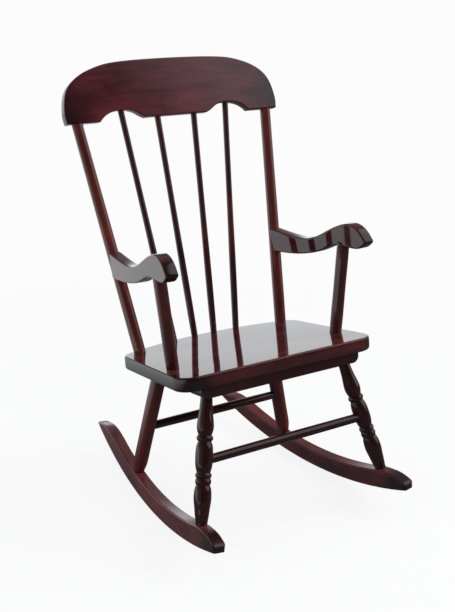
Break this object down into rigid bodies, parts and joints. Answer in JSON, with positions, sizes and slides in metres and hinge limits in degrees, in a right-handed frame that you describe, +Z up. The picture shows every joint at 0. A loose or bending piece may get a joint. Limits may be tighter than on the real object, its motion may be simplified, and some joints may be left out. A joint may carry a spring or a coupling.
{
  "type": "child's rocking chair",
  "caption": "Child's rocking chair with a board seat, turned legs, scrolled arms, a spindle back and an arched crest rail.",
  "frame": {"origin": "on the floor, on the chair's middle plane, midway between the rockers' front and rear ends", "axes": "+X to the right seen from the front, where the sitter faces -Y; +Y to the chair's back; +Z up"},
  "size_m": [0.392, 0.4885, 0.6818],
  "materials": {
    "stained_wood": "gloss lacquer",
    "screw_steel": "satin"
  },
  "bodies": {
    "root": {"seat": "stained_wood", "front_batten": "stained_wood", "crest_rail": "stained_wood", "back_post_left": "stained_wood", "back_post_right": "stained_wood", "spindle_outer_left": "stained_wood", "spindle_outer_right": "stained_wood", "spindle_inner_left": "stained_wood", "spindle_inner_right": "stained_wood", "arm_left": "stained_wood", "arm_right": "stained_wood", "arm_support_left": "stained_wood", "arm_support_right": "stained_wood", "front_leg_left": "stained_wood", "front_leg_right": "stained_wood", "rear_leg_left": "stained_wood", "rear_leg_right": "stained_wood", "front_stretcher": "stained_wood", "rear_stretcher": "stained_wood", "rocker_left": "stained_wood", "rocker_right": "stained_wood", "arm_screws": "screw_steel", "batten_screws": "screw_steel", "rocker_screws": "screw_steel"}
  },
  "joints": []
}
